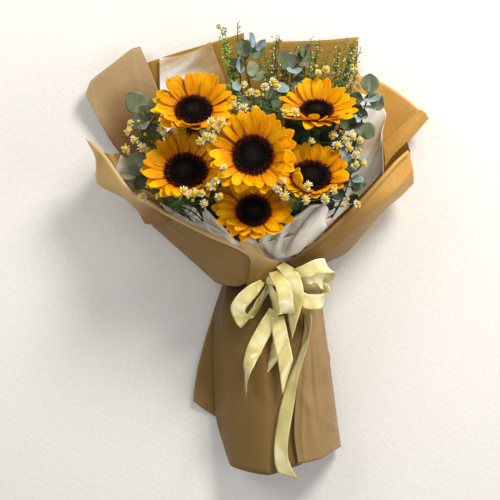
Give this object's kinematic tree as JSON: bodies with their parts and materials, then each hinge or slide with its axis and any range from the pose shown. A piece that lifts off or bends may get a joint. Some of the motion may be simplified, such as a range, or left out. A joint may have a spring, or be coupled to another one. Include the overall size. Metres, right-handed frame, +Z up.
{
  "type": "bunch of sunflowers",
  "caption": "Hand-tied bunch of sunflowers with eucalyptus and chamomile, wrapped in kraft paper with a pale liner and a satin bow, lying on its back.",
  "frame": {"origin": "on the surface the bunch lies on, under the middle of its bounding box", "axes": "+Y along the bunch from the cut stems to the flowers, +Z up away from the surface, +X to the right seen from above with the flowers away from you"},
  "size_m": [0.5102, 0.687, 0.224],
  "materials": {
    "petal": "matte",
    "disc": "matte",
    "sunflower_stem": "satin",
    "sunflower_leaf": "matte",
    "eucalyptus": "matte",
    "chamomile": "matte",
    "pennycress": "matte",
    "twine": "matte",
    "kraft_paper": "satin",
    "liner_paper": "matte",
    "satin_ribbon": "satin"
  },
  "bodies": {
    "root": {"sunflower_1_petals": "petal", "sunflower_1_disc": "disc", "sunflower_1_stem": "sunflower_stem", "sunflower_2_petals": "petal", "sunflower_2_disc": "disc", "sunflower_2_stem": "sunflower_stem", "sunflower_3_petals": "petal", "sunflower_3_disc": "disc", "sunflower_3_stem": "sunflower_stem", "sunflower_4_petals": "petal", "sunflower_4_disc": "disc", "sunflower_4_stem": "sunflower_stem", "sunflower_5_petals": "petal", "sunflower_5_disc": "disc", "sunflower_5_stem": "sunflower_stem", "sunflower_6_petals": "petal", "sunflower_6_disc": "disc", "sunflower_6_stem": "sunflower_stem", "sunflower_leaf_1": "sunflower_leaf", "sunflower_leaf_2": "sunflower_leaf", "eucalyptus_sprig_1": "eucalyptus", "eucalyptus_sprig_2": "eucalyptus", "eucalyptus_sprig_3": "eucalyptus", "eucalyptus_sprig_4": "eucalyptus", "eucalyptus_sprig_5": "eucalyptus", "eucalyptus_sprig_6": "eucalyptus", "chamomile_spray_1": "chamomile", "chamomile_spray_2": "chamomile", "chamomile_spray_3": "chamomile", "chamomile_spray_4": "chamomile", "chamomile_spray_5": "chamomile", "chamomile_spray_6": "chamomile", "pennycress_spray_1": "pennycress", "pennycress_spray_2": "pennycress", "pennycress_spray_3": "pennycress", "pennycress_spray_4": "pennycress", "binding_twine": "twine", "kraft_back_left": "kraft_paper", "kraft_back_centre_left": "kraft_paper", "kraft_back_centre_right": "kraft_paper", "kraft_back_right": "kraft_paper", "liner_back_left": "liner_paper", "liner_back_right": "liner_paper", "kraft_right_flap": "kraft_paper", "kraft_front_left_flap": "kraft_paper", "kraft_left_flap": "kraft_paper", "liner_front": "liner_paper", "skirt_back": "kraft_paper", "skirt_front_left": "kraft_paper", "skirt_front_right": "kraft_paper", "ribbon_band": "satin_ribbon", "ribbon_knot": "satin_ribbon", "ribbon_loop_left": "satin_ribbon", "ribbon_loop_left_low": "satin_ribbon", "ribbon_loop_front": "satin_ribbon", "ribbon_loop_right": "satin_ribbon", "ribbon_loop_right_low": "satin_ribbon", "ribbon_tail_left": "satin_ribbon", "ribbon_tail_middle": "satin_ribbon", "ribbon_tail_long": "satin_ribbon"}
  },
  "joints": []
}
